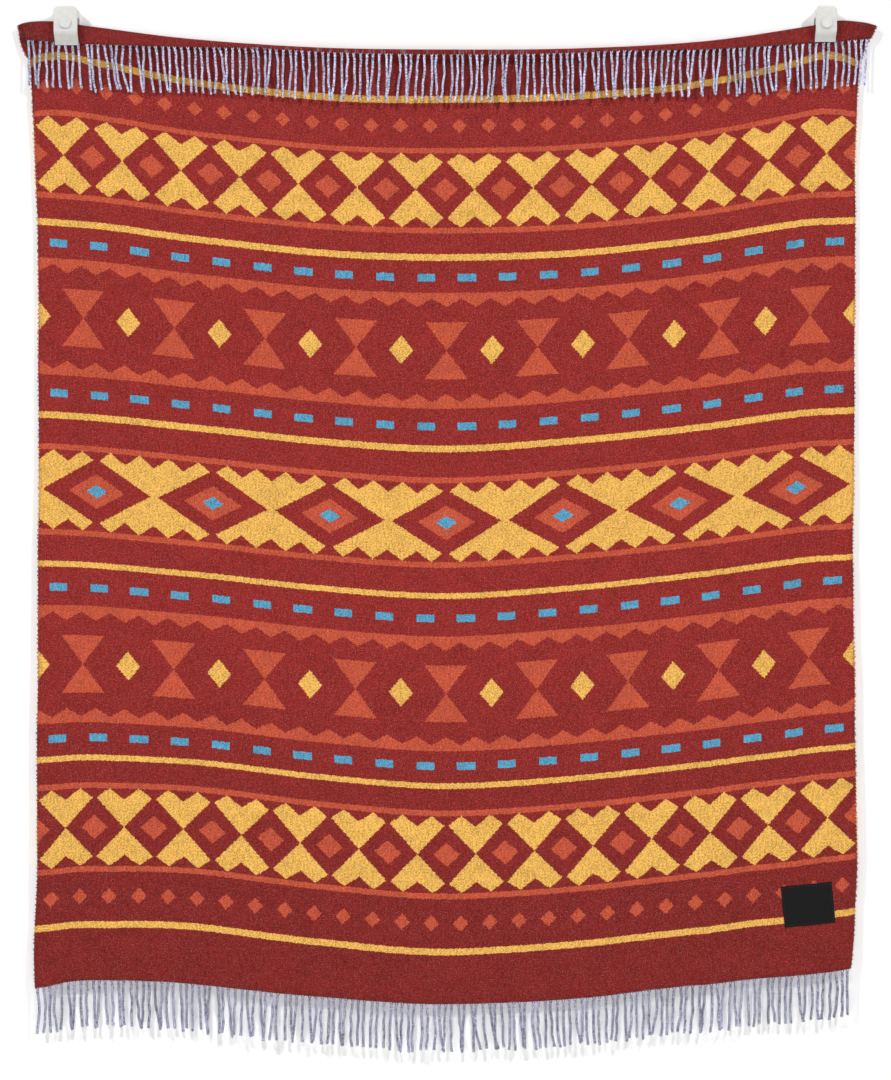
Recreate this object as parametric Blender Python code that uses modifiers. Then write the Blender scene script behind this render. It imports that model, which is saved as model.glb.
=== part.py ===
"""A throw blanket hung from two wall clips, with a twisted fringe at each of its two cut ends.

Metres, +Z up. The wall is the plane y = 0 and the room is on its -Y side. The origin is on the wall,
midway between the clips and level with their round bosses.

The cloth is one piece. Two numbers name a point on it: across, from 0 at the left selvage to 1 at the
right one, and along, the distance from the turned-over end, over the fold and down to the lower end.
"""

import math
from collections import namedtuple

import bmesh
import bpy
from mathutils import Matrix, Vector

MM = 0.001
CLEAR = 0.3 * MM

# The cloth
CLOTH_WIDTH = 1370 * MM
CLOTH_LENGTH = 1620 * MM
CLOTH_THICKNESS = 2.4 * MM
COLUMNS = 44
FRONT_ROWS = 4
BACK_ROWS = 3
BODY_ROWS = 20

# Upright sections of the hung cloth, from the left selvage to the right one, in millimetres. Fold, flap
# and the four weft lines are heights below the origin: the top of the fold, the turned-over end, and
# lines of the cloth that lie level when it is flat. Roll is the radius of the fold. Stand is how far the
# cloth behind the fold is from the wall.
Section = namedtuple("Section", "across fold flap roll stand upper middle lower hem")
SECTIONS = (
    Section(0.000, -1, 23.5, 2.2, 6.5, 230, 679, 1511, 1609),
    Section(0.020, -8, 25, 1.9, 6.2, 232, 680, 1508, 1604),
    Section(0.045, -8, 28, 1.5, 5.8, 235, 682, 1503, 1596),
    Section(0.080, -0.5, 30.5, 1.8, 6.0, 240, 686, 1501, 1593),
    Section(0.200, 22, 36.5, 4.0, 7.0, 263, 703, 1507, 1602),
    Section(0.350, 38, 41, 7.5, 8.5, 285, 725, 1532, 1622),
    Section(0.500, 42, 44.5, 9.0, 9.0, 292, 737, 1548, 1634),
    Section(0.650, 39.5, 44, 7.5, 8.5, 286, 724, 1536, 1626),
    Section(0.800, 26, 40.5, 4.0, 7.0, 265, 703, 1514, 1604),
    Section(0.920, 0.5, 29.5, 1.8, 6.0, 238, 680, 1494, 1588),
    Section(0.955, -9.5, 26, 1.5, 5.8, 232, 675, 1487, 1583),
    Section(0.985, -6.5, 23, 1.9, 6.2, 230, 673, 1483, 1578),
    Section(1.000, -1, 21.5, 2.2, 6.5, 229, 672, 1480, 1575),
)
# How far along the cloth the four weft lines are.
UPPER_ALONG = 274 * MM
MIDDLE_ALONG = 716 * MM
LOWER_ALONG = 1527 * MM

# The two selvages: how far they are from the middle, at each distance below the fold, in millimetres.
Selvage = namedtuple("Selvage", "down left right")
SELVAGES = (
    Selvage(0, -716, 720),
    Selvage(25, -713, 706),
    Selvage(45, -706, 698),
    Selvage(58, -698, 694),
    Selvage(95, -694, 689),
    Selvage(175, -691, 686),
    Selvage(355, -684, 684),
    Selvage(640, -681, 684),
    Selvage(900, -681, 681),
    Selvage(1160, -683, 682),
    Selvage(1415, -684, 685),
    Selvage(1525, -688, 682),
    Selvage(1605, -685, 675),
)
FLAP_END = Selvage(0, -706, 711)

# The body moves away from the wall on its way down: to HANG_STAND a third of the way, and to HEM_STAND.
HANG_STAND = 13 * MM
HEM_STAND = 19 * MM
LEVEL_BELOW_FOLD = 45 * MM
HANG_DOWN = 400 * MM
# The selvages turn back towards the wall over their last few centimetres.
SELVAGE_TURN = 4.5 * MM
SELVAGE_TURN_WIDTH = 45 * MM

# Soft folds in the hanging cloth, in millimetres: each runs from (x_top, top) to (x_foot, foot), where top
# and foot are distances below the fold. A negative height is a hollow.
Crease = namedtuple("Crease", "name x_top top x_foot foot width height")
CREASE_FADE = 140
CREASES = (
    Crease("from the left clip", -625, 40, -424, 1080, 62, 6.0),
    Crease("left selvage hollow", -660, 90, -600, 980, 48, -3.5),
    Crease("second from the left", -350, 300, -300, 960, 58, 4.5),
    Crease("hollow left of the middle", -110, 420, -40, 940, 52, -4.5),
    Crease("right of the middle", 250, 560, 185, 1040, 85, 3.5),
    Crease("from the right clip", 622, 40, 470, 1000, 66, 5.0),
    Crease("right selvage hollow", 655, 120, 610, 1150, 44, -3.5),
    Crease("left end of the hem", -560, 1180, -588, 1800, 46, 5.5),
    Crease("hem hollow on the left", -430, 1150, -470, 1800, 66, -4.0),
    Crease("hem left of the middle", -90, 1230, -60, 1800, 60, 3.5),
    Crease("hem right of the middle", 90, 1120, 70, 1800, 42, -3.0),
    Crease("hem hollow by the label", 505, 1160, 522, 1800, 40, -5.0),
    Crease("under the label", 640, 1180, 650, 1800, 70, 3.0),
)

# The fringe: two-ply strands, fused at their roots into a strip that is CLEAR of the cloth's end
STRANDS = 132
STRAND_WIDTH = 3.2 * MM
STRIP_HEIGHT = 4 * MM
STRIP_THICKNESS = 2.4 * MM
STRAND_RINGS = (8 * MM, 42 * MM, 78 * MM)
STRAND_DROOP = 6 * MM
STRAND_LEAN = 1.9 * MM
STRAND_SWAY = 0.8 * MM
CELLS_A_FACE = 3
STRAND_TO_CLOTH = 0.9 * MM
# How far back from a cut end the way out of the cloth is measured.
END_STEP = 1.5 * MM

# The label: a flat patch, turned a little with the weave, on the front near the lower right corner
LABEL_X = 604 * MM
LABEL_Z = -1468 * MM
LABEL_WIDTH = 85 * MM
LABEL_HEIGHT = 68.5 * MM
LABEL_THICKNESS = 1.0 * MM
LABEL_TURN = math.radians(5.9)
LABEL_CLEAR = 0.6 * MM
LABEL_CELLS = (5, 4)

# The two clips. The right one is a size smaller than the left one.
Clip = namedtuple("Clip", "name x top width height")
CLIPS = (
    Clip("clip_left", -634 * MM, 29 * MM, 39.5 * MM, 62 * MM),
    Clip("clip_right", 634 * MM, 29.5 * MM, 35 * MM, 57 * MM),
)
CLIP_DEPTH = 23 * MM
PLATE_THICKNESS = 4 * MM
JAW_THICKNESS = 3.4 * MM
JAW_TIP_THICKNESS = 1.8 * MM
JAW_TIP_INSIDE = 11.4 * MM
JAW_TIP_HEIGHT = 6 * MM
JAW_BEND_SHARE = 0.68
BLOCK_BOTTOM = 12.2 * MM
CORNER = 4.5 * MM
EDGE_ROUND = 0.8 * MM
BOSS_RADIUS = 10.5 * MM
BOSS_HEIGHT = 3.6 * MM
BOSS_Z = 2 * MM
BOSS_ROUND = 3 * MM


def ease(share):
    """0 to 1, level at both ends, and held there outside them."""
    share = min(max(share, 0.0), 1.0)
    return share * share * (3 - 2 * share)


def smooth(rows, column, at):
    """The value of a table's column, on a smooth curve through its rows. The first column is the place."""
    places = [row[0] for row in rows]
    values = [getattr(row, column) for row in rows]
    last = len(rows) - 1
    k = min(max(sum(place <= at for place in places) - 1, 0), last - 1)

    def slope(i):
        low, high = max(i - 1, 0), min(i + 1, last)
        return (values[high] - values[low]) / (places[high] - places[low])

    span = places[k + 1] - places[k]
    t = (at - places[k]) / span
    rise = values[k + 1] - values[k]
    start, end = slope(k) * span, slope(k + 1) * span
    return values[k] + t * (start + t * (3 * rise - 2 * start - end + t * (start + end - 2 * rise)))


def side_to_side(across, row_left, row_right):
    return (row_left + (row_right - row_left) * across) * MM


def crease_height(x, down):
    """How far the soft folds bring the cloth forward at x, this far below the fold, all in metres."""
    x, down = x / MM, down / MM
    total = 0.0
    for crease in CREASES:
        share = (down - crease.top) / (crease.foot - crease.top)
        middle = crease.x_top + (crease.x_foot - crease.x_top) * min(max(share, 0), 1)
        fade = ease((down - crease.top) / CREASE_FADE) * ease((crease.foot - down) / CREASE_FADE)
        total += crease.height * fade * math.exp(-(((x - middle) / crease.width) ** 2))
    return total * MM


def stand_off(across, x, left, right, down):
    """How far the hanging cloth's middle surface is from the wall."""
    stand = smooth(SECTIONS, "stand", across) * MM
    below = down - LEVEL_BELOW_FOLD
    stand += (HANG_STAND - stand) * ease(below / HANG_DOWN)
    stand += (HEM_STAND - HANG_STAND) * ease((below - HANG_DOWN) / (CLOTH_LENGTH - HANG_DOWN))
    to_selvage = min(x - left, right - x)
    turn = SELVAGE_TURN * math.exp(-to_selvage / SELVAGE_TURN_WIDTH) * ease(below / HANG_DOWN)
    return stand + crease_height(x, down) - turn


def body_height(across, along, start, spring):
    """Height of the hanging cloth: plumb below the roll, and eased onto the four weft lines."""
    lines = [
        (start, spring),
        (UPPER_ALONG, -smooth(SECTIONS, "upper", across) * MM),
        (MIDDLE_ALONG, -smooth(SECTIONS, "middle", across) * MM),
        (LOWER_ALONG, -smooth(SECTIONS, "lower", across) * MM),
        (CLOTH_LENGTH, -smooth(SECTIONS, "hem", across) * MM),
    ]
    slack = [(where, height + where) for where, height in lines]
    for (low, before), (high, after) in zip(slack, slack[1:]):
        if along <= high or high == CLOTH_LENGTH:
            return before + (after - before) * ease((along - low) / (high - low)) - along


def roll_of(across):
    """The fold at one section: (radius, height of its centre, straight run in front, length to its crown)."""
    radius = smooth(SECTIONS, "roll", across) * MM
    spring = -smooth(SECTIONS, "fold", across) * MM - CLOTH_THICKNESS / 2 - radius
    flap_end = -smooth(SECTIONS, "flap", across) * MM
    straight = max(spring - flap_end, 0.0)
    turn = math.acos(min(max((flap_end - spring) / radius, 0.0), 1.0))
    return radius, spring, straight, straight + turn * radius


def body_start(across):
    radius, _, _, crown = roll_of(across)
    return crown + radius * math.pi / 2


def drape(across, along):
    """The cloth's middle surface."""
    radius, spring, straight, crown = roll_of(across)
    start = crown + radius * math.pi / 2
    behind = -smooth(SECTIONS, "stand", across) * MM
    if along >= start:
        down = along - start
        row = min(down / MM, SELVAGES[-1].down)
        left, right = smooth(SELVAGES, "left", row), smooth(SELVAGES, "right", row)
        x = side_to_side(across, left, right)
        y = -stand_off(across, x, left * MM, right * MM, down)
        return Vector((x, y, body_height(across, along, start, spring)))
    to_fold = min(along / crown, 1.0)
    left = FLAP_END.left + (SELVAGES[0].left - FLAP_END.left) * to_fold
    right = FLAP_END.right + (SELVAGES[0].right - FLAP_END.right) * to_fold
    x = side_to_side(across, left, right)
    if along <= straight:
        return Vector((x, behind - 2 * radius, spring - straight + along))
    angle = (crown - along) / radius
    return Vector((x, behind - radius - radius * math.sin(angle), spring + radius * math.cos(angle)))


def on_body(x, z):
    """The hanging cloth's point at this x and height."""
    across, along = 0.5, -z
    for _ in range(12):
        point = drape(across, along)
        across += (x - point.x) / CLOTH_WIDTH
        along += point.z - z
    return drape(across, along)


def clear_scene():
    for obj in list(bpy.data.objects):
        bpy.data.objects.remove(obj, do_unlink=True)


def new_collection(name):
    made = bpy.data.collections.new(name)
    bpy.context.scene.collection.children.link(made)
    return made


def principled(name, colour, roughness):
    material = bpy.data.materials.new(name)
    material.use_nodes = True
    shader = material.node_tree.nodes["Principled BSDF"]
    shader.inputs["Base Color"].default_value = (*colour, 1.0)
    shader.inputs["Roughness"].default_value = roughness
    shader.inputs["Metallic"].default_value = 0.0
    return material


def add_object(name, bm, material, collection):
    """Makes the bmesh an object, and frees it."""
    mesh = bpy.data.meshes.new(name)
    bm.to_mesh(mesh)
    bm.free()
    mesh.materials.append(material)
    obj = bpy.data.objects.new(name, mesh)
    collection.objects.link(obj)
    return obj


def add_thickness(obj, thickness):
    shell = obj.modifiers.new("Thickness", "SOLIDIFY")
    shell.thickness = thickness
    shell.offset = 0.0
    shell.use_even_offset = True


def grid_along(across, row):
    """How far along the cloth a row of its grid is: FRONT_ROWS to the crown, BACK_ROWS down the back of
    the roll, and the rest down the body."""
    crown, start = roll_of(across)[3], body_start(across)
    if row <= FRONT_ROWS:
        return crown * row / FRONT_ROWS
    if row <= FRONT_ROWS + BACK_ROWS:
        return crown + (start - crown) * (row - FRONT_ROWS) / BACK_ROWS
    return start + (CLOTH_LENGTH - start) * (row - FRONT_ROWS - BACK_ROWS) / BODY_ROWS


def make_blanket(material, collection):
    rows = FRONT_ROWS + BACK_ROWS + BODY_ROWS
    bm = bmesh.new()
    bmesh.ops.create_grid(bm, x_segments=COLUMNS, y_segments=rows, size=0.5)
    for vert in bm.verts:
        across = vert.co.x + 0.5
        vert.co = drape(across, grid_along(across, round((vert.co.y + 0.5) * rows)))
    cloth = add_object("blanket", bm, material, collection)
    cloth.data.shade_smooth()
    add_thickness(cloth, CLOTH_THICKNESS)


def cut_end(across, along):
    """A point of a cut end of the cloth, straight between the columns of its grid, and the way out."""
    column = min(int(across * COLUMNS), COLUMNS - 1)
    share = across * COLUMNS - column
    inward = END_STEP if along == 0 else -END_STEP
    ends = [drape((column + k) / COLUMNS, along) for k in (0, 1)]
    backs = [drape((column + k) / COLUMNS, along + inward) for k in (0, 1)]
    point = ends[0].lerp(ends[1], share)
    return point, (point - backs[0].lerp(backs[1], share)).normalized()


def strand_lean(index, phase):
    """How far a strand's tip is to the side, and how far its middle bows out: uneven, in a fixed order."""
    lean = math.sin(2.3 * index + phase) * math.cos(0.61 * index + 2 * phase)
    bow = math.sin(1.7 * index + 3 * phase)
    return STRAND_LEAN * lean, STRAND_SWAY * bow


def make_fringe(name, along, phase, material, collection):
    """A comb made flat and then hung: the strip's x is its place across, y the way out of the cloth and z
    its thickness."""
    pitch = CLOTH_WIDTH / STRANDS
    cells = 2 * STRANDS + 1
    bm = bmesh.new()
    bmesh.ops.create_grid(bm, x_segments=cells, y_segments=1, size=0.5)
    for vert in bm.verts:
        line = round((vert.co.x + 0.5) * cells)
        side = STRAND_WIDTH / 2 if line % 2 == 0 else -STRAND_WIDTH / 2
        x = pitch * ((line + 1) // 2 - 0.5) + side
        x = 0.0 if line == 0 else CLOTH_WIDTH if line == cells else x
        vert.co = Vector((x, CLEAR if vert.co.y < 0 else CLEAR + STRIP_HEIGHT, -STRIP_THICKNESS / 2))
    extruded = bmesh.ops.extrude_face_region(bm, geom=bm.faces[:], use_keep_orig=True)["geom"]
    raised = [item for item in extruded if isinstance(item, bmesh.types.BMVert)]
    bmesh.ops.translate(bm, verts=raised, vec=(0, 0, STRIP_THICKNESS))
    bmesh.ops.recalc_face_normals(bm, faces=bm.faces)

    # The strip's outer faces are a space and a strand in turn, and the strands' faces are the small ones.
    root_area = STRAND_WIDTH * STRIP_THICKNESS
    outer = [face for face in bm.faces if face.normal.y > 0.9]
    tips = [face for face in outer if face.calc_area() < 1.01 * root_area]
    for ring in STRAND_RINGS:
        tips = bmesh.ops.extrude_discrete_faces(bm, faces=tips)["faces"]
        for face in tips:
            middle = face.calc_center_median()
            for vert in face.verts:
                vert.co.y = CLEAR + ring
                vert.co.z = math.copysign(STRAND_WIDTH / 2, vert.co.z - middle.z)

    # The strip's long faces are joined over a few strands each, because the hung strip is nearly flat there.
    across_edges = []
    for edge in bm.edges:
        ends = [vert.co for vert in edge.verts]
        upright = abs(ends[0].x - ends[1].x) < CLEAR and min(end.y for end in ends) < CLEAR * 1.5
        inside = CLEAR < ends[0].x < CLOTH_WIDTH - CLEAR
        if upright and inside and round(ends[0].x / pitch) % CELLS_A_FACE:
            across_edges.append(edge)
    bmesh.ops.dissolve_edges(bm, edges=across_edges, use_verts=True)

    for vert in bm.verts:
        flat = vert.co.copy()
        index = min(int(flat.x / pitch), STRANDS - 1)
        on_strand = flat.y > CLEAR + STRIP_HEIGHT * 1.5
        place = (index + 0.5) * pitch if on_strand else flat.x
        root, outward = cut_end(place / CLOTH_WIDTH, along)
        if not on_strand:
            thick = Vector((1, 0, 0)).cross(outward).normalized()
            vert.co = root + outward * flat.y - thick * flat.z
            continue
        lean, bow = strand_lean(index, phase)
        share = flat.y / STRAND_RINGS[-1]
        kept = STRAND_DROOP * (1 - math.exp(-flat.y / STRAND_DROOP))
        point = root + outward * kept + Vector((0, 0, -1)) * (flat.y - kept)
        point.x += lean * share + bow * math.sin(math.pi * share)
        if along == 0:
            front = on_body(point.x, point.z).y - CLOTH_THICKNESS / 2
            point.y = min(point.y, front - STRAND_TO_CLOTH - STRAND_WIDTH / 2)
        vert.co = point + Vector((flat.x - place, -flat.z, 0))
    # Out of the cloth is down and thickness is towards the room, so the hung comb is a mirror of the flat one.
    bmesh.ops.reverse_faces(bm, faces=bm.faces)
    add_object(name, bm, material, collection)


def make_label(material, collection):
    columns, rows = LABEL_CELLS
    bm = bmesh.new()
    bmesh.ops.create_grid(bm, x_segments=columns, y_segments=rows, size=0.5)
    off = CLOTH_THICKNESS / 2 + LABEL_CLEAR + LABEL_THICKNESS / 2
    for vert in bm.verts:
        flat_x, flat_z = vert.co.x * LABEL_WIDTH, vert.co.y * LABEL_HEIGHT
        x = LABEL_X + flat_x * math.cos(LABEL_TURN) - flat_z * math.sin(LABEL_TURN)
        z = LABEL_Z + flat_x * math.sin(LABEL_TURN) + flat_z * math.cos(LABEL_TURN)
        vert.co = Vector((x, on_body(x, z).y - off, z))
    label = add_object("label", bm, material, collection)
    add_thickness(label, LABEL_THICKNESS)


def plate_outline(width, top, bottom):
    """A clip's outline seen from the front: square below, with both upper corners cut."""
    half = width / 2
    return (
        (-half, bottom),
        (half, bottom),
        (half, top - CORNER),
        (half - CORNER, top),
        (CORNER - half, top),
        (-half, top - CORNER),
    )


def cut_level(bm, height):
    whole = bm.verts[:] + bm.edges[:] + bm.faces[:]
    bmesh.ops.bisect_plane(bm, geom=whole, plane_co=(0, 0, height), plane_no=(0, 0, 1))


def extruded_outline(outline, back, front):
    """A bmesh of an outline in x and z, solid from the depth back to the depth front off the wall."""
    bm = bmesh.new()
    face = bm.faces.new([bm.verts.new((x, -back, z)) for x, z in outline])
    extruded = bmesh.ops.extrude_face_region(bm, geom=[face], use_keep_orig=True)["geom"]
    moved = [item for item in extruded if isinstance(item, bmesh.types.BMVert)]
    bmesh.ops.translate(bm, verts=moved, vec=(0, back - front, 0))
    bmesh.ops.recalc_face_normals(bm, faces=bm.faces)
    return bm


def round_edges(obj):
    bevel = obj.modifiers.new("Rounded edges", "BEVEL")
    bevel.width = EDGE_ROUND
    bevel.segments = 2
    bevel.limit_method = "ANGLE"
    bevel.angle_limit = math.radians(50)


def make_clip_base(clip, material, collection):
    """The wall plate, with a block across its top that carries the jaw."""
    block_front = CLIP_DEPTH - JAW_THICKNESS - CLEAR
    outline = plate_outline(clip.width, clip.top, clip.top - clip.height)
    bm = extruded_outline(outline, 0, PLATE_THICKNESS)
    cut_level(bm, BLOCK_BOTTOM)
    fronts = [f for f in bm.faces if f.normal.y < -0.9 and f.calc_center_median().z > BLOCK_BOTTOM]
    grown = bmesh.ops.extrude_face_region(bm, geom=fronts)["geom"]
    bmesh.ops.delete(bm, geom=fronts, context="FACES_ONLY")
    moved = [item for item in grown if isinstance(item, bmesh.types.BMVert)]
    bmesh.ops.translate(bm, verts=moved, vec=(0, PLATE_THICKNESS - block_front, 0))
    bmesh.ops.translate(bm, verts=bm.verts, vec=(clip.x, 0, 0))
    bmesh.ops.recalc_face_normals(bm, faces=bm.faces)
    add_object(clip.name + "_base", bm, material, collection)


def make_clip_jaw(clip, material, collection):
    """The front jaw: a plate that bends in towards the cloth below, with a round boss above."""
    inside = CLIP_DEPTH - JAW_THICKNESS
    bottom = clip.top - clip.height
    bend = clip.top - clip.height * JAW_BEND_SHARE
    tip = bottom + JAW_TIP_HEIGHT
    bm = extruded_outline(plate_outline(clip.width, clip.top, bottom), inside, CLIP_DEPTH)
    cut_level(bm, bend)
    cut_level(bm, tip)
    for vert in bm.verts:
        share = min(max((bend - vert.co.z) / (bend - tip), 0.0), 1.0)
        front = vert.co.y < -(inside + CLIP_DEPTH) / 2
        straight = CLIP_DEPTH if front else inside
        at_tip = JAW_TIP_INSIDE + (JAW_TIP_THICKNESS if front else 0)
        vert.co.y = -(straight + (at_tip - straight) * share)
    bmesh.ops.translate(bm, verts=bm.verts, vec=(clip.x, 0, 0))
    jaw = add_object(clip.name + "_jaw", bm, material, collection)
    round_edges(jaw)
    union = jaw.modifiers.new("Boss", "BOOLEAN")
    union.operation = "UNION"
    union.object = make_boss(clip)


def make_boss(clip):
    """A low dome on a jaw's face, sunk halfway into the plate."""
    bm = bmesh.new()
    depth = BOSS_HEIGHT + JAW_THICKNESS / 2
    bmesh.ops.create_cone(
        bm, cap_ends=True, segments=24, radius1=BOSS_RADIUS, radius2=BOSS_RADIUS, depth=depth
    )
    rim = [edge for edge in bm.edges if all(vert.co.z > 0 for vert in edge.verts)]
    bmesh.ops.bevel(
        bm, geom=rim, offset=BOSS_ROUND, segments=3, profile=0.5, affect="EDGES", material=-1
    )
    bmesh.ops.rotate(bm, verts=bm.verts, matrix=Matrix.Rotation(math.pi / 2, 3, "X"))
    middle = (clip.x, -CLIP_DEPTH - BOSS_HEIGHT + depth / 2, BOSS_Z)
    bmesh.ops.translate(bm, verts=bm.verts, vec=middle)
    boss = add_object(clip.name + "_boss", bm, plastic, cutters)
    boss.hide_render = True
    boss.display_type = "WIRE"
    return boss


clear_scene()
parts = new_collection("throw_blanket_on_clips")
cutters = new_collection("cutters")
wool = principled("wool", (0.29, 0.022, 0.021), 0.95)
yarn = principled("fringe yarn", (0.45, 0.45, 0.66), 0.9)
patch = principled("label cloth", (0.012, 0.012, 0.013), 0.8)
plastic = principled("clip plastic", (0.74, 0.73, 0.70), 0.45)

make_blanket(wool, parts)
make_fringe("fringe_top", 0, 0.4, yarn, parts)
make_fringe("fringe_bottom", CLOTH_LENGTH, 1.9, yarn, parts)
make_label(patch, parts)
for each_clip in CLIPS:
    make_clip_base(each_clip, plastic, parts)
    make_clip_jaw(each_clip, plastic, parts)
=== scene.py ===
import math
from collections import namedtuple

import bmesh
import bpy
import numpy as np
from mathutils import Matrix, Vector


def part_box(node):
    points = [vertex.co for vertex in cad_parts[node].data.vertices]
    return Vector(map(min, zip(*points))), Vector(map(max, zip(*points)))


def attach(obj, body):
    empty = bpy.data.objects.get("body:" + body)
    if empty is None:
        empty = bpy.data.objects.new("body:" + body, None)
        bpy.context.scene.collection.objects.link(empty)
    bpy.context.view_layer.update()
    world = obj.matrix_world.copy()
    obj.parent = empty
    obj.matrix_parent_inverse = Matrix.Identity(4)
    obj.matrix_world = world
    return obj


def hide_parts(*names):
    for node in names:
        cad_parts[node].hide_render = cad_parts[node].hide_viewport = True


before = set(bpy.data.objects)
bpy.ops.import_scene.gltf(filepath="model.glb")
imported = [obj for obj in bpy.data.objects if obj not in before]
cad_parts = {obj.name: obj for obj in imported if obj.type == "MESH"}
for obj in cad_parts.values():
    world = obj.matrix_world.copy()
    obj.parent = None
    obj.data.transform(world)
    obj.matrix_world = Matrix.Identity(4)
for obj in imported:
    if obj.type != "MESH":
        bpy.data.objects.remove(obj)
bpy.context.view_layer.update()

# The view: the photograph looks straight at the blanket, level with its middle. Metres, +Z up; the wall is
# the plane y = 0 and the room is on its -Y side. The origin is on the wall, midway between the clips.
MM = 0.001
PIXEL = 1.67 * MM
FRAME_HEIGHT = 1080
CAMERA_DISTANCE = 3.0
CAMERA_PLACE = (-0.8 * MM, -CAMERA_DISTANCE - 15 * MM, -860 * MM)

camera_data = bpy.data.cameras.new("camera")
camera_data.sensor_width = 36
camera_data.lens = camera_data.sensor_width * CAMERA_DISTANCE / (FRAME_HEIGHT * PIXEL)
camera = bpy.data.objects.new("camera", camera_data)
camera.location = CAMERA_PLACE
camera.rotation_euler = (math.pi / 2, 0, 0)
bpy.context.scene.collection.objects.link(camera)
bpy.context.scene.camera = camera
bpy.context.scene.view_settings.view_transform = "Standard"


# The room: a white wall, a pale floor below the picture, a lamp high on each side, a broad soft one in front
# and one behind for the back views. The wall lets lamps and views from behind through.
WALL_PLACE = 0.4 * MM
FLOOR_HEIGHT = -2.40
ROOM_SIZE = 9.0
# The surroundings light the room weakly, and look paler than that to the camera.
WORLD_STRENGTH = 0.07
WORLD_SEEN = 0.78
# The wall's own glow grows downwards, so that it stays white where the lamps are weaker.
GLOW_HEIGHTS = (-0.75, -1.70)
GLOW_RANGE = (0.05, 0.10)
LAMP_AIM = (0, 0, -0.85)


def add(tree, kind, inputs=(), output=0, **settings):
    """Adds a shader node, sets or links its inputs by place or name, and returns one of its outputs."""
    made = tree.nodes.new("ShaderNode" + kind)
    for name, value in settings.items():
        setattr(made, name, value)
    pairs = inputs.items() if isinstance(inputs, dict) else enumerate(inputs)
    for key, value in pairs:
        if isinstance(value, bpy.types.NodeSocket):
            tree.links.new(value, made.inputs[key])
        elif value is not None:
            made.inputs[key].default_value = value
    return made.outputs[output]


def new_material(name):
    """An empty material: its tree and its surface output."""
    material = bpy.data.materials.new(name)
    material.use_nodes = True
    material.node_tree.nodes.clear()
    surface = material.node_tree.nodes.new("ShaderNodeOutputMaterial").inputs["Surface"]
    return material, material.node_tree, surface


def finished(name, bm, *materials):
    """Makes a bmesh an object at the origin, and frees it."""
    mesh = bpy.data.meshes.new(name)
    bm.to_mesh(mesh)
    bm.free()
    for material in materials:
        mesh.materials.append(material)
    mesh.shade_smooth()
    piece = bpy.data.objects.new(name, mesh)
    bpy.context.scene.collection.objects.link(piece)
    return piece


def lamp(name, place, aim, size, power):
    """A soft rectangular lamp, turned to its aim, that the camera doesn't see."""
    data = bpy.data.lights.new(name, "AREA")
    data.shape, data.size, data.size_y = "RECTANGLE", size[0], size[1]
    data.energy = power
    holder = bpy.data.objects.new(name, data)
    holder.location = place
    holder.rotation_euler = (Vector(aim) - Vector(place)).to_track_quat("-Z", "Y").to_euler()
    holder.visible_camera = False
    bpy.context.scene.collection.objects.link(holder)


wall_paint, tree, surface = new_material("wall paint")
diffuse = add(tree, "BsdfDiffuse", [(0.93, 0.93, 0.93, 1)])
height = add(tree, "SeparateXYZ", [add(tree, "TexCoord", output="Object")], output="Z")
glow = add(tree, "Emission", [(1, 1, 1, 1), add(tree, "MapRange", [height, *GLOW_HEIGHTS, *GLOW_RANGE])])
clear = add(tree, "BsdfTransparent")
behind = add(tree, "NewGeometry", output="Backfacing")
to_lamp = add(tree, "LightPath", output="Is Shadow Ray")
open_side = add(tree, "Math", [behind, to_lamp], operation="MAXIMUM")
paint = add(tree, "AddShader", [diffuse, glow])
tree.links.new(add(tree, "MixShader", [open_side, paint, clear]), surface)
bm = bmesh.new()
bmesh.ops.create_grid(
    bm, x_segments=1, y_segments=1, size=ROOM_SIZE / 2, matrix=Matrix.Rotation(math.pi / 2, 4, "X")
)
bmesh.ops.translate(bm, verts=bm.verts, vec=(0, WALL_PLACE, FLOOR_HEIGHT + ROOM_SIZE / 2))
wall = finished("wall", bm, wall_paint)

floor_paint, tree, surface = new_material("floor")
tree.links.new(add(tree, "BsdfDiffuse", [(0.72, 0.72, 0.71, 1)]), surface)
bm = bmesh.new()
bmesh.ops.create_grid(bm, x_segments=1, y_segments=1, size=ROOM_SIZE / 2)
bmesh.ops.translate(bm, verts=bm.verts, vec=(0, 0, FLOOR_HEIGHT))
floor = finished("floor", bm, floor_paint)

lamp("left lamp", (-3.6, -3.6, 2.7), LAMP_AIM, (0.55, 0.55), 176)
lamp("right lamp", (3.6, -3.6, 2.7), LAMP_AIM, (0.55, 0.55), 170)
lamp("front lamp", (0, -3.4, -1.5), (0, 0, -1.1), (2.6, 1.2), 40)
lamp("back lamp", (-0.3, 2.4, 0.9), LAMP_AIM, (1.8, 1.4), 48)
bpy.context.scene.world = bpy.data.worlds.new("white room")
bpy.context.scene.world.use_nodes = True
tree = bpy.context.scene.world.node_tree
sky = tree.nodes["Background"]
sky.inputs["Color"].default_value = (1, 1, 1, 1)
seen = add(tree, "LightPath", output="Is Camera Ray")
strength = add(tree, "MapRange", [seen, 0, 1, WORLD_STRENGTH, WORLD_SEEN])
tree.links.new(strength, sky.inputs["Strength"])


# The blanket: one piece of napped double-faced wool, woven in weft bands, its top end turned over to the
# front. It hangs by that fold from the clips, and the fold sags between them. Two numbers name a point on it:
# across, from 0 at the left selvage to 1 at the right, and along, from the turned-over end to the lower end.
CLOTH_WIDTH = 1370 * MM
CLOTH_LENGTH = 1620 * MM
CLOTH_THICKNESS = 2.4 * MM
COLUMNS = 188
FRONT_ROWS = 10
BACK_ROWS = 5
BODY_ROWS = 232
# Rows of the front part crowd towards the fold by this power.
FRONT_CROWDING = 1.6

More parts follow.
